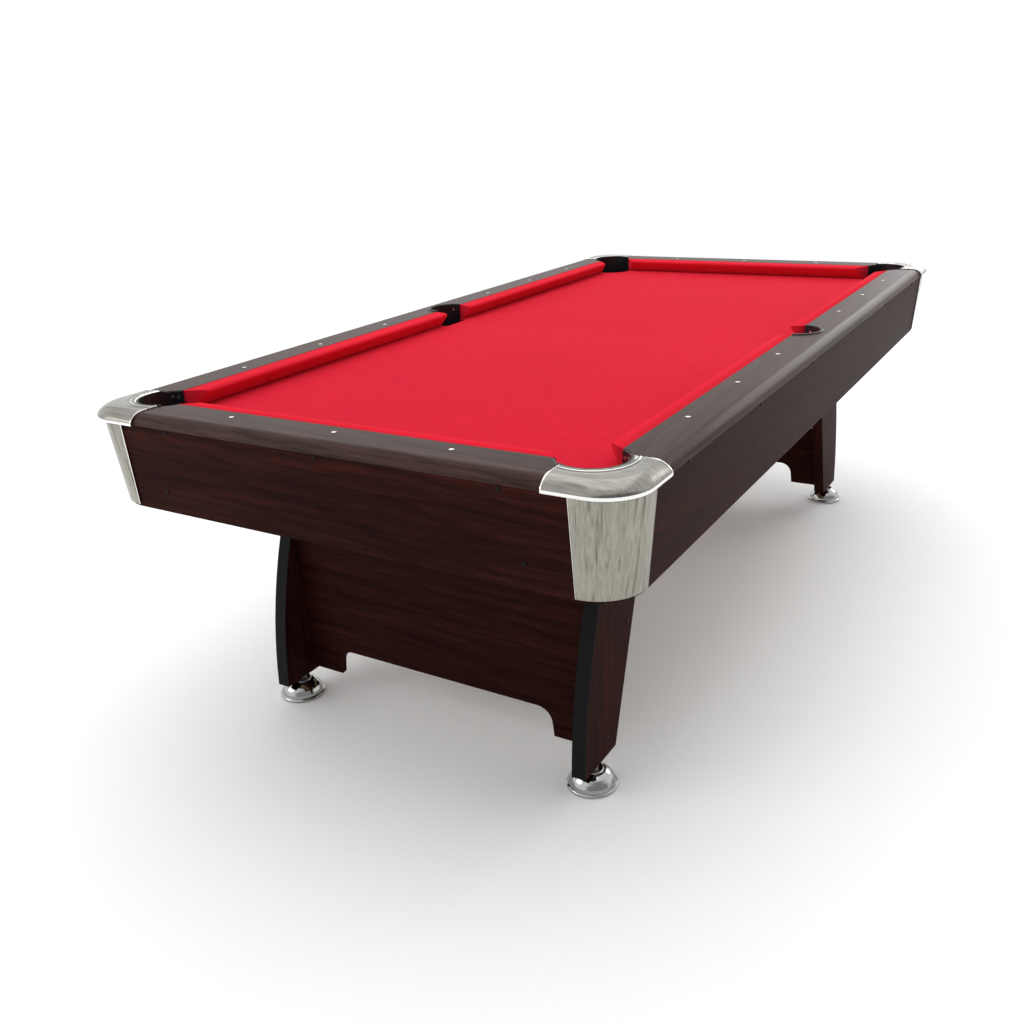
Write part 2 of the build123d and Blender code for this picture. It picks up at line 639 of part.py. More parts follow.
def apron_board(plane, sign, top_edge, half_length):
    """One leaning board of the apron, drawn as its section and run along its side."""
    low_edge = top_edge - APRON_SLOPE
    with BuildSketch(plane) as section:
        Polygon(
            (sign * low_edge, APRON_BOTTOM),
            (sign * top_edge, RAIL_SKIRT_Z),
            (sign * (top_edge - APRON_THICK), RAIL_SKIRT_Z),
            (sign * (low_edge - APRON_THICK), APRON_BOTTOM),
            align=None,
        )
    extrude(section.sketch, amount=half_length, both=True)


with BuildPart() as long_apron:
    apron_board(Plane.XZ, 1, APRON_TOP_X, POST_Y)
    for y in LONG_SCREWS:
        rod((BATTEN_X, y, APRON_SCREW_Z), (RAIL_X, y, APRON_SCREW_Z), APRON_HOLE_R, mode=Mode.SUBTRACT)
write_mirrored(long_apron, "long_apron", SIDES)

with BuildPart() as end_apron:
    apron_board(Plane.YZ, -1, APRON_TOP_Y, POST_X)
    for x in END_SCREWS:
        rod((x, -BATTEN_Y, APRON_SCREW_Z), (x, -RAIL_Y, APRON_SCREW_Z), APRON_HOLE_R, mode=Mode.SUBTRACT)
    for s in (-1, 1):
        x = s * LOW_SCREW_X
        rod((x, -OUTRIGGER_END_Y, LOW_SCREW_Z), (x, -RAIL_Y, LOW_SCREW_Z), APRON_HOLE_R, mode=Mode.SUBTRACT)
write_mirrored(end_apron, "end_apron", ENDS)

with BuildPart() as corner_post:
    apron_shell()
    block((POST_X, -BIG, 0), (BIG, -POST_Y, CUT_HIGH), Mode.INTERSECT)
write_group("corner_posts", (corner_post, FLIPS))

with BuildPart() as long_batten:
    block((BATTEN_X, -POST_Y, BATTEN_Z), (BATTEN_X + BATTEN, POST_Y, RAIL_SKIRT_Z))
    for y in LONG_SCREWS:
        rod((BATTEN_X, y, APRON_SCREW_Z), (RAIL_X, y, APRON_SCREW_Z), APRON_SCREW_R, mode=Mode.SUBTRACT)

with BuildPart() as end_batten:
    block((-END_BATTEN_X, -BATTEN_Y - BATTEN, BATTEN_Z), (END_BATTEN_X, -BATTEN_Y, RAIL_SKIRT_Z))
    for x in END_SCREWS:
        rod((x, -BATTEN_Y, APRON_SCREW_Z), (x, -RAIL_Y, APRON_SCREW_Z), APRON_SCREW_R, mode=Mode.SUBTRACT)
write_group("apron_battens", (long_batten, SIDES), (end_batten, ENDS))


def apron_screw(point, face, out):
    """A screw from its point to the apron's face, with its head standing a little proud."""
    start, end = [Vector(*face) + Vector(*out) * step for step in APRON_SCREW_HEAD]
    rod(point, start, APRON_SCREW_R)
    rod(start, end, APRON_SCREW_HEAD_R)


with BuildPart() as apron_screws:
    z = APRON_SCREW_Z
    for s in (-1, 1):
        for y in LONG_SCREWS:
            apron_screw((s * (BATTEN_X + 1), y, z), (s * SCREW_FACE_X, y, z), (s, 0, 0))
        for x in END_SCREWS:
            apron_screw((x, s * (BATTEN_Y + 1), z), (x, s * SCREW_FACE_Y, z), (0, s, 0))
        for x in (-LOW_SCREW_X, LOW_SCREW_X):
            point = (x, s * (OUTRIGGER_END_Y - LOW_SCREW_DEPTH), LOW_SCREW_Z)
            apron_screw(point, (x, s * LOW_FACE_Y, LOW_SCREW_Z), (0, s, 0))
write(apron_screws, "apron_screws")


# ---------------------------------------------------------------- frame under the bed
def leg_bolt_holes(end=1):
    """Holes along X for the bolts that hold leg, beam and outrigger together, near end or far."""
    for y, z in LEG_BOLTS:
        rod((0, end * y, z), (RAIL_X, end * y, z), LEG_BOLT_R + SCREW_PLAY, mode=Mode.SUBTRACT)


with BuildPart() as main_beam:
    low = (LEG_INNER_X - BEAM_THICK, -PANEL_INNER_Y, BED_BOTTOM - BEAM_DEPTH)
    block(low, (LEG_INNER_X, PANEL_INNER_Y, BED_BOTTOM))
    leg_bolt_holes()
    leg_bolt_holes(-1)
write_group("main_beams", (main_beam, SIDES))

with BuildPart() as cross_beams:
    half = LEG_INNER_X - BEAM_THICK
    for y in CROSS_BEAMS:
        low = (-half, y - BEAM_THICK / 2, BED_BOTTOM - CROSS_DEPTH)
        block(low, (half, y + BEAM_THICK / 2, BED_BOTTOM))
write(cross_beams, "cross_beams")

with BuildPart() as outrigger:
    low = (LEG_OUTER_X, -OUTRIGGER_END_Y, BED_BOTTOM - BEAM_DEPTH)
    block(low, (LEG_OUTER_X + OUTRIGGER, -OUTRIGGER_BACK_Y, BED_BOTTOM))
    leg_bolt_holes()
    hole = (LOW_SCREW_X, -OUTRIGGER_END_Y, LOW_SCREW_Z)
    hole_end = (LOW_SCREW_X, -OUTRIGGER_END_Y + LOW_SCREW_DEPTH + 2, LOW_SCREW_Z)
    rod(hole, hole_end, APRON_SCREW_R, mode=Mode.SUBTRACT)
write_group("outriggers", (outrigger, FLIPS))


# ---------------------------------------------------------------- pedestals
def leg_front_line(shift):
    """The bowed front edge of a leg panel and its straight hidden top."""
    low, middle, high = [(y - shift, z) for y, z in LEG_FRONT]
    ThreePointArc(low, middle, high)
    Line(high, (high[0], BED_BOTTOM))


with BuildPart() as leg_panel:
    with BuildSketch(Plane.YZ.offset(LEG_INNER_X)):
        with BuildLine():
            leg_front_line(0)
            Polyline((LEG_FRONT[2][0], BED_BOTTOM), (LEG_BACK[0][0], BED_BOTTOM), *LEG_BACK, LEG_FRONT[0])
        make_face()
    extrude(amount=LEG_THICK)
    leg_bolt_holes()
    for y, z in LEG_SCREWS:
        rod((LEG_INNER_X, y, z), (LEG_OUTER_X, y, z), PANEL_SCREW_R, mode=Mode.SUBTRACT)
    rod((*FOOT, LEG_BOTTOM), (*FOOT, STEM_TOP + 6), STEM_R + 1.5, mode=Mode.SUBTRACT)
    rod((*FOOT, LEG_BOTTOM), (*FOOT, LEG_BOTTOM + INSERT_DEPTH), STEM_R + INSERT_WALL, mode=Mode.SUBTRACT)
write_mirrored(leg_panel, "leg_panel", FLIPS)

with BuildPart() as leg_band:
    with BuildSketch(Plane.YZ.offset(LEG_INNER_X)):
        with BuildLine():
            leg_front_line(0)
            leg_front_line(BAND)
            Line((LEG_FRONT[2][0], BED_BOTTOM), (LEG_FRONT[2][0] - BAND, BED_BOTTOM))
            Line(LEG_FRONT[0], (LEG_FRONT[0][0] - BAND, LEG_BOTTOM))
        make_face()
    extrude(amount=LEG_THICK)
write_group("leg_edge_bands", (leg_band, FLIPS))

with BuildPart() as pedestal_panel:
    with BuildSketch(Plane.XZ.offset(PANEL_INNER_Y)):
        with Locations((0, (PANEL_BOTTOM + BED_BOTTOM) / 2)):
            Rectangle(2 * LEG_INNER_X, BED_BOTTOM - PANEL_BOTTOM)
        arch_low, arch_high, arch_top = ARCH
        Polygon(
            (-arch_low, PANEL_BOTTOM),
            (arch_low, PANEL_BOTTOM),
            (arch_high, arch_top),
            (-arch_high, arch_top),
            align=None,
            mode=Mode.SUBTRACT,
        )
        inner = [v for v in vertices() if abs(v.Y - arch_top) < 1]
        fillet(inner, ARCH_FILLET)
    extrude(amount=PANEL_THICK)
    for y, z in PANEL_SCREWS:
        for s in (-1, 1):
            end = s * (LEG_INNER_X - PANEL_SCREW_DEPTH)
            rod((s * LEG_INNER_X, y, z), (end, y, z), PANEL_SCREW_R, mode=Mode.SUBTRACT)
write_mirrored(pedestal_panel, "pedestal_panel", ENDS)

with BuildPart() as brace:
    with Locations((0, -BRACE_Y, BRACE_Z)):
        Box(2 * LEG_INNER_X, BRACE_THICK, BRACE_DEPTH)
    for s in (-1, 1):
        end = s * (LEG_INNER_X - PANEL_SCREW_DEPTH)
        rod((s * LEG_INNER_X, -BRACE_Y, BRACE_Z), (end, -BRACE_Y, BRACE_Z), PANEL_SCREW_R, Mode.SUBTRACT)
write_group("pedestal_braces", (brace, ENDS))

with BuildPart() as leg_bolt:
    washer_r, washer = LEG_WASHER
    head_size, head = LEG_BOLT_HEAD
    nut_size, nut = LEG_BOLT_NUT
    nut_face = LEG_INNER_X - BEAM_THICK
    head_face = LEG_OUTER_X + OUTRIGGER
    for y, z in LEG_BOLTS:
        rod((nut_face - washer - nut - LEG_BOLT_END, y, z), (head_face, y, z), LEG_BOLT_R)
        rod((head_face, y, z), (head_face + washer, y, z), washer_r)
        hexagon((head_face + washer, y, z), (head_face + washer + head, y, z), head_size)
        rod((nut_face - washer, y, z), (nut_face, y, z), washer_r)
        hexagon((nut_face - washer - nut, y, z), (nut_face - washer, y, z), nut_size)
write_group("leg_bolts", (leg_bolt, FLIPS))

with BuildPart() as panel_screw:
    for y, z in LEG_SCREWS:
        start = LEG_INNER_X - PANEL_SCREW_DEPTH + 1
        rod((start, y, z), (LEG_OUTER_X, y, z), PANEL_SCREW_R)
        rod((LEG_OUTER_X, y, z), (LEG_OUTER_X + CAP_HEIGHT, y, z), CAP_R)
    fillet(edges().group_by(Axis.X)[-1], CAP_EDGE)
write_group("panel_screws", (panel_screw, FLIPS))


# ---------------------------------------------------------------- levelling feet
with BuildPart() as foot_insert:
    rod((*FOOT, LEG_BOTTOM - FLANGE), (*FOOT, LEG_BOTTOM), FLANGE_R)
    rod((*FOOT, LEG_BOTTOM), (*FOOT, LEG_BOTTOM + INSERT_DEPTH), STEM_R + INSERT_WALL)
    rod((*FOOT, 0), (*FOOT, STEM_TOP), STEM_R + RUNNING, mode=Mode.SUBTRACT)
write_group("foot_inserts", (foot_insert, FLIPS))

with BuildPart() as foot_pad:
    with BuildSketch(Plane.XZ):
        with BuildLine():
            rim = (FOOT_R, FOOT_RIM)
            swell, shoulder = FOOT_DOME
            bore = STEM_R + RUNNING
            Polyline((0, 0), (FOOT_R - 1, 0), (FOOT_R, 1), rim)
            ThreePointArc(rim, swell, shoulder)
            Polyline(shoulder, (shoulder[0], NECK_TOP), (bore, NECK_TOP))
            Polyline((bore, NECK_TOP), (bore, SOCKET_BOTTOM), (0, SOCKET_BOTTOM), (0, 0))
        make_face()
    revolve(axis=Axis.Z)

with BuildPart() as foot_pad_placed:
    with Locations((*FOOT, 0)):
        add(foot_pad.part)
write_mirrored(foot_pad_placed, "foot_pad", FLIPS)

with BuildPart() as foot_stem:
    rod((*FOOT, SOCKET_BOTTOM + FACE_GAP), (*FOOT, STEM_TOP), STEM_R)
    chamfer(edges().filter_by(GeomType.CIRCLE).group_by(Axis.Z)[-1], STEM_CHAMFER)
    hexagon((*FOOT, HEX_BOTTOM), (*FOOT, HEX_TOP), STEM_HEX[0])
write_mirrored(foot_stem, "foot_stem", FLIPS)
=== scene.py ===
import math

import bmesh
import bpy
from mathutils import Matrix, Vector


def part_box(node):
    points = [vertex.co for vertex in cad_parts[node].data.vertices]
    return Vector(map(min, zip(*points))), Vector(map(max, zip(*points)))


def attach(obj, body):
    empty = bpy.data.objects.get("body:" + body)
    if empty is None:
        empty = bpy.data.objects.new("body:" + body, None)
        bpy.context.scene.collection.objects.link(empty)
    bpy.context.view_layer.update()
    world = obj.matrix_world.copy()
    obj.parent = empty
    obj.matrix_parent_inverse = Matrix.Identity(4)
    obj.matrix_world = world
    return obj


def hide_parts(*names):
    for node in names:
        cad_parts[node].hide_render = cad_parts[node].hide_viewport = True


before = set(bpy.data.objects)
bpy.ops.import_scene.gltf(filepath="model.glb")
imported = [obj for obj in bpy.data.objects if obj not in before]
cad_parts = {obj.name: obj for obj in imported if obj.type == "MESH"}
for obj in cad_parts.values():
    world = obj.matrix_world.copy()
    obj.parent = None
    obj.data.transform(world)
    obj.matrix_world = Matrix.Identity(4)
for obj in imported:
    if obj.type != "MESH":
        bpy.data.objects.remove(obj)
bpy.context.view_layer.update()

MM = 0.001
PLACES = {"near_right": (1, 1), "near_left": (-1, 1), "far_right": (1, -1), "far_left": (-1, -1)}
CORNER_POCKET = Vector((516.0, -1124.0))  # near right, in millimetres
CLOTH_THICK = 0.0009
CAMERA_PLACE = (1.2356, -2.5546, 1.3451)


# ------------------------------------------------------------------ camera and view
def make_camera():
    """A camera at the photograph's viewing angle, looking down on the near right corner."""
    azimuth, down, roll = math.radians(31.758), math.radians(21.450), math.radians(2.727)
    ahead = Vector((-math.sin(azimuth) * math.cos(down), math.cos(azimuth) * math.cos(down), -math.sin(down)))
    level = Vector((math.cos(azimuth), math.sin(azimuth), 0))
    right = Matrix.Rotation(roll, 3, ahead) @ level
    up = right.cross(ahead)
    cam = bpy.data.cameras.new("camera")
    cam.lens, cam.sensor_width = 35.16, 36
    cam.clip_start, cam.clip_end = 0.05, 60
    obj = bpy.data.objects.new("camera", cam)
    turned = Matrix((right, up, -ahead)).transposed().to_4x4()
    obj.matrix_world = Matrix.Translation(CAMERA_PLACE) @ turned
    bpy.context.scene.collection.objects.link(obj)
    bpy.context.scene.camera = obj


def area_light(name, place, aim, size, power):
    """A white softbox turned to its aim."""
    light = bpy.data.lights.new(name, "AREA")
    light.shape, light.size, light.size_y = "RECTANGLE", size[0], size[1]
    light.energy = power
    obj = bpy.data.objects.new(name, light)
    obj.location = place
    obj.rotation_euler = (Vector(aim) - Vector(place)).to_track_quat("-Z", "Y").to_euler()
    bpy.context.scene.collection.objects.link(obj)


def studio_world(strength, wall, wall_tone):
    """White studio all round, with one darker wall on the right for the plated parts to mirror."""
    world = bpy.data.worlds.new("studio")
    world.use_nodes = True
    tree = world.node_tree
    place = tree.nodes.new("ShaderNodeTexCoord")
    facing = tree.nodes.new("ShaderNodeVectorMath")
    facing.operation = "DOT_PRODUCT"
    facing.inputs[1].default_value = wall
    shade = tree.nodes.new("ShaderNodeValToRGB")
    for element, stop, tone in zip(shade.color_ramp.elements, (0.42, 0.72), ((1, 1, 1), wall_tone)):
        element.position, element.color = stop, (*tone, 1)
    tree.links.new(place.outputs["Generated"], facing.inputs[0])
    tree.links.new(facing.outputs["Value"], shade.inputs["Fac"])
    tree.links.new(shade.outputs["Color"], tree.nodes["Background"].inputs["Color"])
    tree.nodes["Background"].inputs["Strength"].default_value = strength
    bpy.context.scene.world = world


make_camera()
bpy.context.scene.view_settings.view_transform = "Standard"
studio_world(strength=1.15, wall=(0.80, -0.60, 0.0), wall_tone=(0.34, 0.34, 0.35))
area_light("overhead", (-0.2, 0.3, 3.4), (0, 0, 0.8), (2.6, 4.4), 30)
area_light("far_window", (1.2, 4.8, 2.4), (0.3, 0.6, 0.7), (3.0, 1.6), 50)
area_light("near_fill", (-2.8, -3.6, 2.2), (0, -0.8, 0.5), (2.4, 1.8), 22)


# ------------------------------------------------------------------ material nodes
class Shader:
    """A Principled material and short ways to add nodes to it."""

    def __init__(self, name, **sockets):
        self.material = bpy.data.materials.new(name)
        self.material.use_nodes = True
        self.tree = self.material.node_tree
        self.bsdf = self.tree.nodes["Principled BSDF"]
        for key, value in sockets.items():
            self.bsdf.inputs[key.replace("_", " ")].default_value = value
        self.place = self.node("ShaderNodeTexCoord").outputs["Object"]

    def node(self, kind, **props):
        """A new node with its properties set."""
        made = self.tree.nodes.new(kind)
        for key, value in props.items():
            setattr(made, key, value)
        return made

    def link(self, source, target):
        self.tree.links.new(source, target)

    def scaled(self, scale, rotate=(0, 0, 0)):
        """Object coordinates, scaled and turned."""
        made = self.node("ShaderNodeMapping")
        made.inputs["Scale"].default_value = scale
        made.inputs["Rotation"].default_value = rotate
        self.link(self.place, made.inputs["Vector"])
        return made.outputs["Vector"]

    def noise(self, vector, scale, detail=4, rough=0.55, distortion=0.0):
        made = self.node("ShaderNodeTexNoise")
        settings = {"Scale": scale, "Detail": detail, "Roughness": rough, "Distortion": distortion}
        for key, value in settings.items():
            made.inputs[key].default_value = value
        self.link(vector, made.inputs["Vector"])
        return made.outputs["Fac"]

    def ramp(self, value, *stops):
        """A colour ramp; each stop is a position and a grey or a colour."""
        made = self.node("ShaderNodeValToRGB")
        ramp = made.color_ramp
        while len(ramp.elements) < len(stops):
            ramp.elements.new(0.5)
        for element, (position, colour) in zip(ramp.elements, stops):
            element.position = position
            element.color = (*colour, 1) if hasattr(colour, "__len__") else (colour, colour, colour, 1)
        self.link(value, made.inputs["Fac"])
        return made.outputs["Color"]

    def mix(self, blend, factor, a, b):
        """Two colours mixed; each input is a socket or a value."""
        made = self.node("ShaderNodeMix", data_type="RGBA", blend_type=blend)
        for key, value in (("Factor", factor), ("A", a), ("B", b)):
            socket = next(s for s in made.inputs if s.name == key and s.enabled)
            if isinstance(value, bpy.types.NodeSocket):
                self.link(value, socket)
            else:
                socket.default_value = (*value, 1) if hasattr(value, "__len__") else value
        return next(s for s in made.outputs if s.enabled)

    def math(self, operation, a, b):
        made = self.node("ShaderNodeMath", operation=operation)
        for socket, value in zip(made.inputs, (a, b)):
            if isinstance(value, bpy.types.NodeSocket):
                self.link(value, socket)
            else:
                socket.default_value = value
        return made.outputs[0]

    def colour(self, source):
        self.link(source, self.bsdf.inputs["Base Color"])

    def rough(self, value, low, high):
        """Roughness that follows a value from low to high."""
        made = self.node("ShaderNodeMapRange")
        made.inputs["To Min"].default_value, made.inputs["To Max"].default_value = low, high
        self.link(value, made.inputs["Value"])
        self.link(made.outputs["Result"], self.bsdf.inputs["Roughness"])

    def bump(self, height, strength, distance):
        made = self.node("ShaderNodeBump")
        made.inputs["Strength"].default_value = strength
        made.inputs["Distance"].default_value = distance
        self.link(height, made.inputs["Height"])
        self.link(made.outputs["Normal"], self.bsdf.inputs["Normal"])


# ------------------------------------------------------------------ materials
def wood_foil(name, axis, dark, light, streak, roughness, specular):
    """Printed wood foil, its grain along one axis: long figure, reddish streaks and fine pores."""
    s = Shader(name, Specular_IOR_Level=specular)

    def grained(along, across):
        return s.scaled([along if i == axis else across for i in range(3)])

    wide = s.noise(grained(0.42, 6.0), 1.6, 3, 0.5, 0.9)
    fine = s.noise(grained(0.9, 26.0), 2.4, 7, 0.68, 0.35)
    pores = s.noise(grained(6.0, 210.0), 3.2, 3, 0.6)
    rings = s.node("ShaderNodeTexWave", wave_type="BANDS", bands_direction="DIAGONAL", wave_profile="SIN")
    s.link(grained(0.35, 3.4), rings.inputs["Vector"])
    for key, value in (("Scale", 4.2), ("Distortion", 9.0), ("Detail", 3.0), ("Detail Scale", 1.1)):
        rings.inputs[key].default_value = value
    base = s.ramp(fine, (0.28, dark), (0.56, light), (0.82, streak))
    base = s.mix("MULTIPLY", 0.55, base, s.ramp(rings.outputs["Fac"], (0.0, 0.45), (0.45, 1.0), (1.0, 0.8)))
    base = s.mix("MULTIPLY", 0.6, base, s.ramp(wide, (0.3, 0.62), (0.62, 1.15)))
    base = s.mix("MULTIPLY", 0.5, base, s.ramp(pores, (0.36, 0.35), (0.5, 1.0)))
    s.colour(base)
    s.rough(fine, roughness - 0.05, roughness + 0.09)
    s.bump(pores, 0.12, 0.0004)
    return s.material


def cloth(name, colour, tint):
    """Napped wool cloth: fine crossed weave, soft mottling and a little sheen."""
    s = Shader(name, Roughness=0.9, Specular_IOR_Level=0.02)
    s.bsdf.inputs["Sheen Weight"].default_value = 0.02
    s.bsdf.inputs["Sheen Roughness"].default_value = 0.5
    s.bsdf.inputs["Sheen Tint"].default_value = (1.0, 0.3, 0.32, 1)
    warp, weft = (s.noise(s.scaled(threads), 1.0, 2) for threads in ((900, 260, 500), (260, 900, 500)))
    weave = s.math("MULTIPLY", s.math("ADD", warp, weft), 0.5)
    nap = s.noise(s.scaled((26, 26, 26)), 1.0, 5, 0.7)
    soft = s.noise(s.scaled((1.6, 1.1, 1.6)), 1.0, 3)
    base = s.mix("MIX", s.ramp(weave, (0.32, 0.0), (0.68, 1.0)), tuple(c * 0.86 for c in colour), tint)
    base = s.mix("MULTIPLY", 0.5, base, s.ramp(nap, (0.3, 0.88), (0.7, 1.06)))
    base = s.mix("MULTIPLY", 0.45, base, s.ramp(soft, (0.3, 0.86), (0.7, 1.08)))
    s.colour(base)
    s.bump(weave, 0.35, 0.0003)
    return s.material


def plated(name, dark, light, stretch, roughness, turn=(0, 0, 0)):
    """Plated trim: an even tone broken by long light and dark streaks of painted reflection, fine hairline
    marks and a faint mottle.
    """
    s = Shader(name, Metallic=1.0)
    streak = s.noise(s.scaled(stretch, turn), 1.0, 5, 0.6, 0.3)
    hair = s.noise(s.scaled([v * 3.5 for v in stretch], turn), 1.0, 4, 0.65)
    cloud = s.noise(s.scaled((8, 8, 8)), 1.0, 3)
    middle = tuple((a + 2 * b) / 3 for a, b in zip(dark, light))
    # The light and dark streaks in the base colour are painted reflection.
    base = s.ramp(streak, (0.30, dark), (0.43, middle), (0.52, light), (0.60, middle), (0.74, light))
    base = s.mix("MULTIPLY", 0.5, base, s.ramp(hair, (0.34, 0.62), (0.52, 1.0), (0.7, 0.86)))
    base = s.mix("MULTIPLY", 0.35, base, s.ramp(cloud, (0.3, 0.8), (0.7, 1.1)))
    s.colour(base)
    s.rough(streak, roughness + 0.08, roughness - 0.03)
    s.bump(hair, 0.04, 0.0003)
    return s.material


def plain(name, colour, spread, scale, roughness, metallic=0.0, bump=0.05, specular=0.5):
    """Moulded, rubber, board or metal surface with a faint grain of its own."""
    s = Shader(name, Metallic=metallic, Specular_IOR_Level=specular)
    grain = s.noise(s.scaled((scale, scale, scale)), 1.0, 4, 0.6)
    broad = s.noise(s.scaled((7, 7, 7)), 1.0, 3)
    low = tuple(c * (1 - spread) for c in colour)
    high = tuple(min(1.0, c * (1 + spread)) for c in colour)
    base = s.ramp(grain, (0.3, low), (0.7, high))
    base = s.mix("MULTIPLY", 0.4, base, s.ramp(broad, (0.3, 0.85), (0.7, 1.05)))
    s.colour(base)
    s.rough(grain, roughness - 0.04, roughness + 0.06)
    s.bump(grain, bump, 0.0003)
    return s.material


MAHOGANY = {"dark": (0.013, 0.0036, 0.0032), "light": (0.032, 0.0082, 0.0062),
            "streak": (0.062, 0.013, 0.009), "roughness": 0.45, "specular": 0.02}
RAIL_FOIL = {"dark": (0.034, 0.018, 0.0145), "light": (0.062, 0.035, 0.029),
             "streak": (0.086, 0.048, 0.039), "roughness": 0.30, "specular": 0.045}
foil_x = wood_foil("mahogany_foil_across", 0, **MAHOGANY)
foil_y = wood_foil("mahogany_foil_along", 1, **MAHOGANY)
foil_z = wood_foil("mahogany_foil_upright", 2, **MAHOGANY)
rail_x = wood_foil("rail_foil_across", 0, **RAIL_FOIL)
rail_y = wood_foil("rail_foil_along", 1, **RAIL_FOIL)
red_cloth = cloth("red_cloth", (0.61, 0.014, 0.032), (0.65, 0.018, 0.038))
# A brighter copy of the red cloth for the cushion covers: painted light on their shaded faces.
cushion_painted_light = cloth("cushion_cloth_painted_light", (0.69, 0.014, 0.032), (0.73, 0.018, 0.038))
# Cap and skirt metal: the greys and streaks in their colour are painted reflection.
chrome_skirt = plated("chrome_skirt", (0.14, 0.13, 0.108), (0.35, 0.335, 0.285), (90, 90, 3.0), 0.26)
chrome_cap = plated("chrome_cap", (0.13, 0.125, 0.108), (0.29, 0.28, 0.25), (5, 52, 24), 0.20, (0, 0, 0.25))
# Lit and shaded copies of the plated metal: painted highlight and painted shade.
chrome_painted_highlight = plain("chrome_painted_highlight", (0.90, 0.90, 0.88), 0.05, 240, 0.12, 1.0, 0.02)
chrome_painted_shade = plain("chrome_painted_shade", (0.10, 0.10, 0.095), 0.1, 240, 0.2, 1.0, 0.02)
# Foot metal darkened to a mid grey: painted dark reflection.
chrome_foot = plain("chrome_foot", (0.40, 0.40, 0.395), 0.06, 160, 0.06, 1.0, 0.02)
black_plastic = plain("black_plastic", (0.008, 0.008, 0.009), 0.25, 900, 0.36, specular=0.3)
black_edge = plain("black_edge_band", (0.008, 0.008, 0.008), 0.25, 500, 0.45, specular=0.06)
black_foil = plain("black_foil", (0.010, 0.009, 0.009), 0.3, 700, 0.45, specular=0.2)
screw_brown = plain("screw_head_brown", (0.008, 0.005, 0.004), 0.2, 900, 0.5, specular=0.1)
sight_ring = plain("sight_ring", (0.03, 0.022, 0.018), 0.2, 900, 0.4)
board = plain("bare_board", (0.36, 0.25, 0.15), 0.35, 420, 0.75, bump=0.3)
rubber = plain("cushion_rubber", (0.04, 0.037, 0.034), 0.2, 500, 0.7)
steel = plain("zinc_steel", (0.52, 0.52, 0.5), 0.12, 380, 0.3, 1.0)
pearl = plain("pearl_inlay", (0.78, 0.76, 0.71), 0.10, 330, 0.2)


def dress(material, *names):
    """Give CAD nodes a finish."""
    for name in names:
        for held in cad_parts[name].material_slots:
            held.material = material


dress(foil_y, "long_apron_right", "long_apron_left")
dress(foil_x, "end_apron_near", "end_apron_far", "pedestal_panel_near", "pedestal_panel_far")
dress(foil_z, "corner_posts", *(f"leg_panel_{p}" for p in PLACES))
dress(rail_y, "long_rail_right", "long_rail_left")
dress(rail_x, "end_rail_near", "end_rail_far")
dress(board, "bed_board", "main_beams", "cross_beams", "apron_battens", "pedestal_braces")
dress(black_foil, "outriggers")
dress(rubber, "long_cushion_rubbers", "end_cushion_rubbers")
dress(steel, "rail_bolts", "leg_bolts", "foot_inserts", "liner_screws")
dress(screw_brown, "apron_screws", "panel_screws")
dress(black_plastic, "side_pocket_liner_right", "side_pocket_liner_left")
dress(black_plastic, *(f"corner_pocket_liner_{p}" for p in PLACES))
dress(black_edge, "leg_edge_bands")


# ------------------------------------------------------------------ mesh helpers
def piece(name, bm, materials, body="table", smooth=40):
    """Finish a bmesh as a shown piece that rides on a body."""
    bmesh.ops.recalc_face_normals(bm, faces=bm.faces)
    mesh = bpy.data.meshes.new(name)
    bm.to_mesh(mesh)
    bm.free()
    mesh.shade_smooth()
    if smooth:
        mesh.set_sharp_from_angle(angle=math.radians(smooth))
    for material in materials:
        mesh.materials.append(material)
    obj = bpy.data.objects.new(name, mesh)
    bpy.context.scene.collection.objects.link(obj)
    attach(obj, body)
    return obj


def apply_modifiers(obj):
    """Turn the modifiers into mesh."""
    depsgraph = bpy.context.evaluated_depsgraph_get()
    mesh = bpy.data.meshes.new_from_object(obj.evaluated_get(depsgraph))
    obj.modifiers.clear()
    obj.data = mesh


def thicken(obj, thickness, even=False, soft=0.0, segments=2):
    """Give a skin its thickness inwards, with its sharp edges bevelled where soft is more than nothing."""
    thick = obj.modifiers.new("thick", "SOLIDIFY")
    thick.thickness, thick.offset, thick.use_even_offset = thickness, -1, even
    if soft:
        bevel = obj.modifiers.new("soft", "BEVEL")
        bevel.width, bevel.segments = soft, segments
        bevel.limit_method, bevel.angle_limit = "ANGLE", math.radians(50)
    apply_modifiers(obj)


def face_outwards(obj, outward):
    """Turn all faces over if the middle one looks inwards."""
    middle = obj.data.polygons[len(obj.data.polygons) // 2]
    if middle.normal.dot(outward) < 0:
        obj.data.flip_normals()


def stand_for(node):
    """Let a finished piece stand for its CAD node."""
    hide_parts(node)


def on_circle(centre, radius, angle):
    """A plan point on a circle."""
    return Vector((centre[0] + radius * math.cos(angle), centre[1] + radius * math.sin(angle)))


def grid(bm, rows, closed=False):
    """Faces between rows of points, each row as long as the others."""
    made = [[bm.verts.new(p) for p in row] for row in rows]
    for a, b in zip(made, made[1:]):
        pairs = list(zip(range(len(a)), range(1, len(a))))
        if closed:
            pairs.append((len(a) - 1, 0))
        for i, j in pairs:
            bm.faces.new((a[i], a[j], b[j], b[i]))
    return made


def rounded(points, radii, steps=5, closed=True):
    """A polyline with its corners rounded, as 2-D points."""
    out = []
    count = len(points)
    for i, (p, r) in enumerate(zip(points, radii)):
        p = Vector(p)
        if r == 0 or (not closed and i in (0, count - 1)):
            out.append(p)
            continue
        a = (Vector(points[i - 1]) - p).normalized()
        b = (Vector(points[(i + 1) % count]) - p).normalized()
        half = a.angle(b) / 2
        reach = r / math.tan(half)
        centre = p + (a + b).normalized() * (r / math.sin(half))
        start, end = p + a * reach - centre, p + b * reach - centre
        turn = math.atan2(start.x * end.y - start.y * end.x, start.dot(end))
        for k in range(steps + 1):
            t = turn * k / steps
            out.append(centre + Matrix.Rotation(t, 2) @ start)
    return out


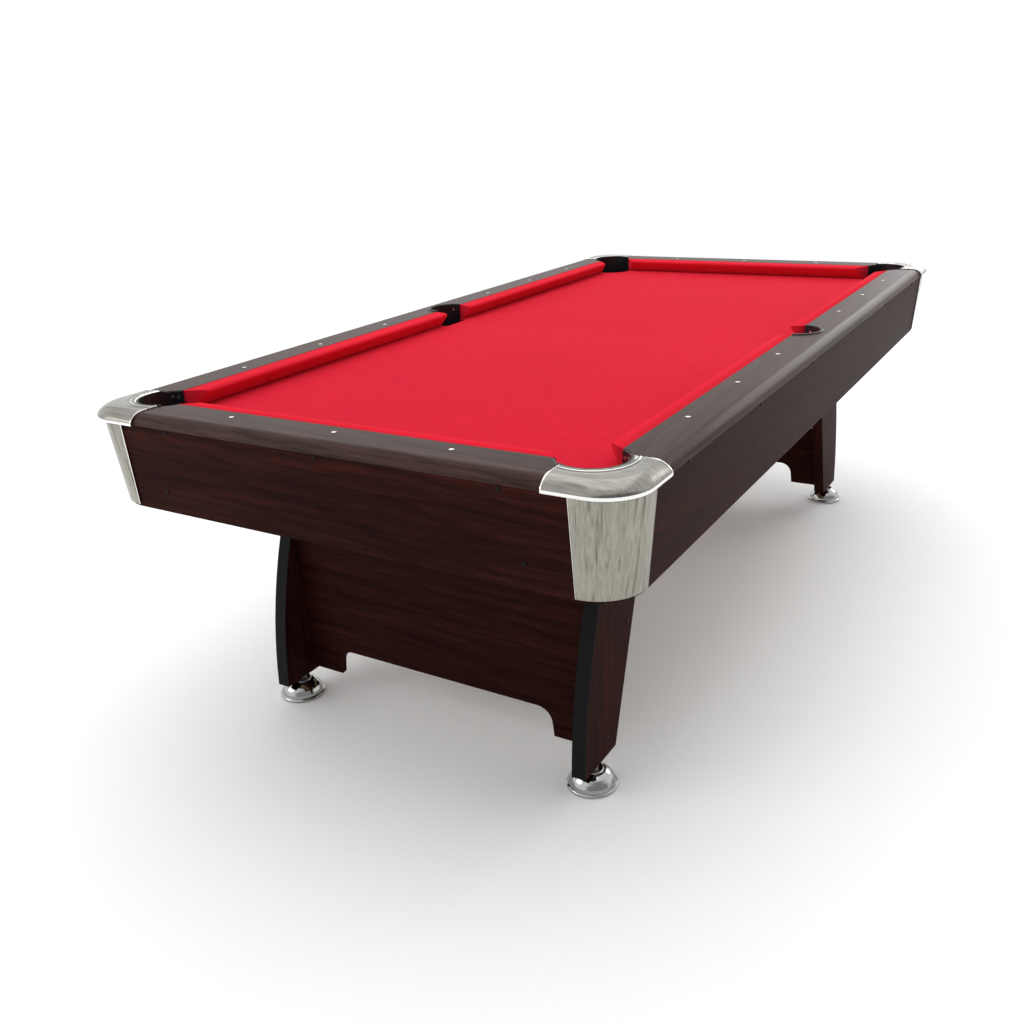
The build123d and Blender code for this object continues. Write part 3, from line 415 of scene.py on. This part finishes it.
def revolved(name, profile, centre, material, body, segments=96):
    """A turned piece about an upright line; the profile starts and ends on it."""
    bm = bmesh.new()
    rows = []
    for k in range(segments):
        t = 2 * math.pi * k / segments
        rows.append([(*on_circle(centre, r, t), z) for r, z in profile[1:-1]])
    rows.append(rows[0])
    made = grid(bm, rows)
    for end, (r, z) in ((0, profile[0]), (-1, profile[-1])):
        tip = bm.verts.new((centre[0], centre[1], z))
        for a, b in zip(made, made[1:]):
            bm.faces.new((a[end], b[end], tip))
    bmesh.ops.remove_doubles(bm, verts=bm.verts, dist=1e-7)
    return piece(name, bm, [material], body)


def flip(point, place):
    """A point of the near right corner, mirrored into a place."""
    sx, sy = PLACES[place]
    return (sx * point[0], sy * point[1], point[2])


# ------------------------------------------------------------------ cushions
WOOD_X, WOOD_Y = 0.542, 1.151
CUSHION_W = 0.040
FACING_SOFT = 1.2  # rounding of the cloth at the cushion's ends, mm
LONG_WOOD, LONG_NOSE = (-1061.5, -62.0), (-1026.5, -64.0)
END_WOOD, END_NOSE = (-460.0, 460.0), (-425.0, 425.0)
cushion_low, cushion_high = (corner.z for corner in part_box("cushion_cloth_near_right"))


def cushion_section():
    """Closed section of a covered cushion: u from the wood, z up."""
    low, high = cushion_low / MM, cushion_high / MM
    nose = low + 34
    points = [(0, low), (13, low), (38.4, nose - 3.5), (40, nose + 0.6), (36.5, nose + 5), (0, high)]
    return rounded(points, [0, 6, 3.2, 2.6, 6, 0], 4)


def cushion_cover(name, node, wood, nose, to_world):
    """Cloth pulled over a cushion and round its two facings.

    wood and nose are the (low, high) ends along the rail at the wood and at the nose.
    """
    section = cushion_section()
    section[0].x = section[-1].x = 0.3
    middle = (cushion_low + cushion_high) / 2 / MM
    rows = []
    for side in (0, 1):
        rings = []
        for k in range(7):
            angle = k * math.pi / 12
            rings.append((FACING_SOFT * (1 - math.cos(angle)), FACING_SOFT * (1 - math.sin(angle))))
        for drop, inset in rings if side == 0 else reversed(rings):
            row = []
            for u, z in section:
                su = u * (1 - inset / CUSHION_W * MM) if u > 0 else 0
                sz = middle + (z - middle) * (1 - inset / 24)
                share = su / (CUSHION_W / MM)
                end = wood[side] + (nose[side] - wood[side]) * share
                along = end + drop * (1 if side == 0 else -1)
                row.append(to_world(su * MM, along * MM, sz * MM))
            rows.append(row)
    bm = bmesh.new()
    made = grid(bm, rows)
    bm.faces.new(made[0])
    bm.faces.new(list(reversed(made[-1])))
    bmesh.ops.triangulate(bm, faces=[f for f in bm.faces if len(f.verts) > 4])
    cover = piece(name, bm, [cushion_painted_light], smooth=60)
    face_outwards(cover, to_world(1, 0, 1) - to_world(0, 0, 0))
    thicken(cover, CLOTH_THICK)
    stand_for(node)
    return cover


for place, (sx, sy) in PLACES.items():
    cover = cushion_cover(
        f"cushion_cover_{place}", f"cushion_cloth_{place}", LONG_WOOD, LONG_NOSE,
        lambda u, v, z, sx=sx, sy=sy: Vector((sx * (WOOD_X - u), sy * v, z)),
    )
for end, sy in (("near", 1), ("far", -1)):
    cover = cushion_cover(
        f"end_cushion_cover_{end}", f"end_cushion_cloth_{end}", END_WOOD, END_NOSE,
        lambda u, v, z, sy=sy: Vector((v, sy * (-WOOD_Y + u), z)),
    )


# ------------------------------------------------------------------ bed cloth
def bed_outline():
    """Plan of the bed cloth, anticlockwise in millimetres, with its six pocket cut-outs."""
    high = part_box("bed_cloth")[1]
    edge_x, edge_y = high.x / MM, high.y / MM
    pocket, radius = (CORNER_POCKET.x, -CORNER_POCKET.y), 68.4
    side_pocket, side_radius, shelf = (538.0, 0.0), 60.4, 511.0
    half = math.asin(math.sqrt(side_radius ** 2 - (side_pocket[0] - shelf) ** 2) / side_radius)
    side = [(edge_x, -side_radius)]
    for k in range(9):
        t = -math.pi / 2 - (math.pi / 2 - half) * k / 8
        side.append(tuple(on_circle(side_pocket, side_radius, t)))
    side += [(x, -y) for x, y in reversed(side)]
    corner = [(edge_x, pocket[1] - radius)]
    for k in range(17):
        t = -math.pi / 2 - math.pi / 2 * k / 16
        corner.append(tuple(on_circle(pocket, radius, t)))
    corner.append((pocket[0] - radius, edge_y))
    left_top = [(-x, y) for x, y in reversed(corner)]
    left_side = [(-x, y) for x, y in reversed(side)]
    left_low = [(-x, -y) for x, y in corner]
    right_low = [(x, -y) for x, y in reversed(corner)]
    return side + corner + left_top + left_side + left_low + right_low


def offset(outline, distance):
    """The outline moved inwards by a distance, with mitred corners."""
    out = []
    count = len(outline)
    for i, p in enumerate(outline):
        p = Vector(p)
        a = (p - Vector(outline[i - 1])).normalized()
        b = (Vector(outline[(i + 1) % count]) - p).normalized()
        na, nb = Vector((-a.y, a.x)), Vector((-b.y, b.x))
        middle = (na + nb).normalized()
        out.append(p + middle * (distance / max(0.5, middle.dot(na))))
    return out


def bed_cloth():
    """The cloth over the bed, rolled down at its edges and into the pockets, as a thin shell."""
    outline = bed_outline()
    lo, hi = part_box("bed_cloth")
    top, low = hi.z / MM, lo.z / MM
    roll = 3.2
    bm = bmesh.new()
    rows = []
    for k in range(6):
        t = math.pi / 2 * k / 5
        rows.append([(p.x * MM, p.y * MM, (top - roll * (1 - math.cos(t))) * MM)
                     for p in offset(outline, roll * (1 - math.sin(t)))])
    rows.append([(x * MM, y * MM, low * MM) for x, y in outline])
    made = grid(bm, rows, closed=True)
    inner = [bm.edges.get((a, b)) for a, b in zip(made[0], made[0][1:] + made[0][:1])]
    bmesh.ops.triangle_fill(bm, use_beauty=True, use_dissolve=False, edges=inner)
    obj = piece("bed_cloth_stretched", bm, [red_cloth], smooth=50)
    thicken(obj, CLOTH_THICK)
    stand_for("bed_cloth")


bed_cloth()


# ------------------------------------------------------------------ corner caps and skirts
LIP_TOP = 0.7915
CAP_STEPS, CAP_HOLE, CAP_TOP = 60, 68.6, 812.9
CAP_SPREAD = math.radians(-117.5), math.radians(24.2)
RIDGE_FROM, RIDGE_TO, RIDGE_ROWS = 2.2, 27.0, 30
RIM_WIDTH = 0.45  # share of a step that the end rims with their painted highlight keep
# Ridges round the pocket: distance from the hole's edge, height, half width.
RIDGES = ((3.6, 1.2, 1.3), (7.4, -0.6, 1.2), (11.5, 1.3, 1.6), (15.6, -0.5, 1.3), (21.5, 0.7, 2.0))
# Cap columns with painted highlight (inner lip and bead crests) and painted shade (slopes down into the
# grooves).
HIGHLIGHT_COLUMNS, SHADED_COLUMNS = (0, 1, 2, 3, 4, 14, 15), (7, 17, 18)
# The cap's inner lip, as distance from the hole's edge and height.
CAP_LIP = ((0.0, 806.5), (0.0, 811.6), (0.5, 812.6), (1.4, 813.0))
# The cap's outer edge, as distance in from the edge and height.
CAP_EDGE = ((0.5, 786.4), (0.0, 788.5), (0.0, 792.5), (1.0, 795.6), (3.0, 798.2), (6.0, 801.2), (10.0, 804.6),
            (16.0, 808.4), (22.0, 810.9), (28.0, 812.2), (36.0, 812.8))
RIM_RING = ((64.9, 800.0), (64.9, 812.2), (65.6, 813.0), (67.4, 813.0), (68.2, 812.2), (68.2, 800.0),
            (64.9, 800.0))


def plan_path(half_x, half_y, radius, start_x, end_y, steps):
    """Plan points round the near right corner, from the end side to the long side."""
    cx, cy = half_x - radius, -(half_y - radius)
    lengths = [cx - start_x, radius * math.pi / 2, end_y - cy]
    total = sum(lengths)
    out = []
    for k in range(steps + 1):
        d = total * k / steps
        if d <= lengths[0]:
            out.append(Vector((start_x + d, -half_y)))
        elif d <= lengths[0] + lengths[1]:
            out.append(on_circle((cx, cy), radius, -math.pi / 2 + (d - lengths[0]) / radius))
        else:
            out.append(Vector((half_x, cy + d - lengths[0] - lengths[1])))
    return out


def cap_row(outer, inner, end):
    """Points over the cap from the hole's edge to its outer edge; end is 1 at the cap's ends."""
    line = (outer - inner).normalized()
    span = (outer - inner).length - 37.0
    row = [(inner + line * f, z) for f, z in CAP_LIP]
    for i in range(RIDGE_ROWS):
        f = RIDGE_FROM + (min(RIDGE_TO, span) - RIDGE_FROM) * i / (RIDGE_ROWS - 1)
        ridge = sum(h * math.exp(-((f - at) / w) ** 2) for at, h, w in RIDGES)
        row.append((inner + line * f, CAP_TOP + ridge * min(1.0, max(0.0, (span - f) / 3))))
    for e, z in reversed(CAP_EDGE):
        row.append((outer - line * e, z + 0.7 * end * min(1.0, (z - 786.0) / 20)))
    row.append((outer - line * 2.5, 785.9))
    return row


def corner_cap(place):
    """Plated cap over a corner pocket: rounded plate, rolled lip, beads round the pocket; painted highlight on
    the lips, the bead crests and the end rims, painted shade on the bead slopes.
    """
    outer = plan_path(648.0, 1258.0, 88.0, 486.0, -1096.0, CAP_STEPS)
    outer[1] = outer[0].lerp(outer[1], RIM_WIDTH)
    outer[-2] = outer[-1].lerp(outer[-2], RIM_WIDTH)
    first, last = CAP_SPREAD
    rows = []
    for k, o in enumerate(outer):
        part = {1: RIM_WIDTH, CAP_STEPS - 1: CAP_STEPS - RIM_WIDTH}.get(k, k)
        inner = on_circle(CORNER_POCKET, CAP_HOLE, first + (last - first) * part / CAP_STEPS)
        row = cap_row(o, inner, max(0.0, 1 - min(k, CAP_STEPS - k) / 1.5))
        rows.append([flip((p.x * MM, p.y * MM, z * MM), place) for p, z in row])
    bm = bmesh.new()
    grid(bm, rows)
    obj = piece(f"corner_cap_plate_{place}", bm, [chrome_cap, chrome_painted_highlight, chrome_painted_shade], smooth=0)
    face_outwards(obj, Vector((0, 0, 1)))
    across = len(rows[0]) - 1
    # Painted highlight on the rolled outer lip, the end rims, the inner lip and the bead crests; painted shade
    # on the slopes into the grooves.
    for i, face in enumerate(obj.data.polygons):
        step, column = divmod(i, across)
        if face.center.z < LIP_TOP or step in (0, CAP_STEPS - 1) or column in HIGHLIGHT_COLUMNS:
            face.material_index = 1
        elif column in SHADED_COLUMNS:
            face.material_index = 2
    thicken(obj, 0.0021, even=True, soft=0.0006)
    obj.data.shade_smooth()
    stand_for(f"corner_cap_{place}")


def liner_rim(place):
    """Black top edge of the corner liner, standing just inside the cap's plated ring."""
    rows = []
    for k in range(49):
        t = math.radians(-124 + (31 + 124) * k / 48)
        ring = ((on_circle(CORNER_POCKET, radius, t), z) for radius, z in RIM_RING)
        rows.append([flip((p.x * MM, p.y * MM, z * MM), place) for p, z in ring])
    bm = bmesh.new()
    grid(bm, rows)
    bmesh.ops.remove_doubles(bm, verts=bm.verts, dist=1e-5)
    bmesh.ops.holes_fill(bm, edges=bm.edges, sides=8)
    obj = piece(f"corner_liner_rim_{place}", bm, [black_plastic])


def corner_skirt(place):
    """Plated skirt round a corner of the apron, leaning out towards the top, with turned edges that carry a
    painted highlight.
    """
    low, high = 597.5, 785.8
    reach_low, reach_high = 92.0, 110.0
    apron_low, apron_tall, slope, gap = 593.0, 194.0, 15.0, 4.0
    levels, across = 14, 46
    rows = []
    for k in range(levels + 1):
        z = low + (high - low) * k / levels
        lean = slope * (z - apron_low) / apron_tall
        half_x, half_y = 621.0 + lean + gap, 1231.0 + lean + gap
        reach = reach_low + (reach_high - reach_low) * (z - low) / (high - low)
        path = plan_path(half_x, half_y, 92.0, half_x - reach, -(half_y - reach), across)
        path[1], path[-2] = path[0].lerp(path[1], 0.35), path[-1].lerp(path[-2], 0.35)
        rows.append([flip((p.x * MM, p.y * MM, z * MM), place) for p in path])
    bm = bmesh.new()
    grid(bm, rows)
    obj = piece(f"corner_skirt_plate_{place}", bm, [chrome_skirt, chrome_painted_highlight], smooth=0)
    # Painted highlight on the first and last columns, the skirt's turned edges.
    for i, face in enumerate(obj.data.polygons):
        if i % across in (0, across - 1):
            face.material_index = 1
    face_outwards(obj, Vector((PLACES[place][0], -PLACES[place][1], 0)))
    thicken(obj, 0.0033, even=True, soft=0.0013, segments=3)
    obj.data.shade_smooth()
    stand_for(f"corner_skirt_{place}")


for place in PLACES:
    corner_cap(place)
    liner_rim(place)
    corner_skirt(place)


# ------------------------------------------------------------------ feet
def foot(place):
    """Plated dome of a levelling foot: rim, stepped bead, dome and collar."""
    lo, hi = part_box(f"foot_pad_{place}")
    centre = ((lo.x + hi.x) / 2, (lo.y + hi.y) / 2)
    points = [(0, 0), (54.6, 0), (56, 1.6), (56, 6.0), (53.4, 8.4), (51.6, 8.8), (50.4, 16), (46.4, 25),
              (39.5, 33), (31, 38.6), (25.2, 41.0), (24.2, 43.2), (22.5, 43.4), (6.2, 43.3), (6.2, 14), (0, 14)]
    radii = [0, 1.0, 1.0, 2.2, 1.2, 1.0, 9, 14, 14, 9, 1.6, 0.8, 0.8, 0.3, 0, 0]
    profile = [(p.x * MM, p.y * MM) for p in rounded(points, radii, 4, closed=False)]
    obj = revolved(f"foot_dome_{place}", profile, centre, chrome_foot, f"pad_{place}")
    stand_for(f"foot_pad_{place}")


def foot_stem(place):
    """Threaded stem of a levelling foot with its chamfered wrench hexagon."""
    lo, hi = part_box(f"foot_stem_{place}")
    centre = ((lo.x + hi.x) / 2 / MM, (lo.y + hi.y) / 2 / MM)
    low, high = lo.z / MM, hi.z / MM
    thread, pitch, depth, around = 6.0, 1.75, 0.55, 32
    hex_low, hex_high, flat, chamfer = 43.7, 49.7, 11.0, (1.2, 0.8)
    bm = bmesh.new()
    levels = int((high - low) / (pitch / 4))
    rows = []
    for k in range(around + 1):
        t = 2 * math.pi * k / around
        row = []
        for i in range(levels + 1):
            z = low + (high - low) * i / levels
            phase = (z / pitch - k / around) % 1.0
            taper = min(1.0, (high - z) / 1.4 + 0.78, (z - low) / 1.0 + 0.9)
            radius = (thread - depth * abs(2 * phase - 1)) * taper
            row.append((*(on_circle(centre, radius, t) * MM), z * MM))
        rows.append(row)
    grid(bm, rows)
    bmesh.ops.remove_doubles(bm, verts=bm.verts, dist=1e-7)
    bmesh.ops.holes_fill(bm, edges=[e for e in bm.edges if e.is_boundary])
    rows = []
    cut, rise = chamfer
    for z, shrink in ((hex_low, cut), (hex_low + rise, 0.0), (hex_high - rise, 0.0), (hex_high, cut)):
        row = []
        for k in range(24):
            t = 2 * math.pi * k / 24
            side = math.radians((math.degrees(t) + 30) % 60 - 30)
            radius = min(flat / math.cos(side), flat / math.cos(math.radians(30)) - shrink)
            row.append((*(on_circle(centre, radius, t) * MM), z * MM))
        rows.append(row)
    made = grid(bm, rows, closed=True)
    bm.faces.new(made[0])
    bm.faces.new(made[-1])
    obj = piece(f"foot_thread_{place}", bm, [steel], f"stem_{place}", smooth=35)
    stand_for(f"foot_stem_{place}")


for place in PLACES:
    foot(place)
    foot_stem(place)


# ------------------------------------------------------------------ sights
def sights():
    """Round pearl inlays in the rails, each a low dome in a fine dark ring."""
    bm = bmesh.new()
    low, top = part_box("rail_sights")[0].z, 0.810
    spots = [(sx * 0.5726, sy * 0.28 * n) for sx in (-1, 1) for sy in (-1, 1) for n in (1, 2, 3)]
    spots += [(0.2677 * n, sy * 1.1828) for sy in (-1, 1) for n in (-1, 0, 1)]
    profile = ((6.05, -1.2), (6.0, 0.35), (5.3, 0.5), (5.05, 0.3), (4.9, 0.62), (3.6, 0.95), (1.8, 1.12))
    for x, y in spots:
        rows = []
        for k in range(33):
            t = 2 * math.pi * k / 32
            rows.append([(*on_circle((x, y), r * MM, t), top + z * MM) for r, z in profile])
        made = grid(bm, rows)
        for band in range(3):
            ring = {f for row in made for f in row[band].link_faces if f in row[band + 1].link_faces}
            for face in ring:
                face.material_index = 1
        tip = bm.verts.new((x, y, top + 1.16 * MM))
        pin = bm.verts.new((x, y, low))
        for a, b in zip(made, made[1:]):
            bm.faces.new((a[-1], b[-1], tip))
            bm.faces.new((b[0], a[0], pin))
    bmesh.ops.remove_doubles(bm, verts=bm.verts, dist=1e-6)
    obj = piece("sight_inlays", bm, [pearl, sight_ring], smooth=50)
    stand_for("rail_sights")


sights()


# ------------------------------------------------------------------ floor
bm = bmesh.new()
bmesh.ops.create_grid(bm, x_segments=1, y_segments=1, size=40)
floor_mesh = bpy.data.meshes.new("floor")
bm.to_mesh(floor_mesh)
bm.free()
floor = bpy.data.objects.new("floor", floor_mesh)
pale = Shader("pale_floor", Roughness=0.85, Specular_IOR_Level=0.1)
pale.colour(pale.ramp(pale.noise(pale.scaled((90, 90, 90)), 1.0, 2), (0.2, 0.975), (0.8, 0.99)))
floor_mesh.materials.append(pale.material)
bpy.context.scene.collection.objects.link(floor)
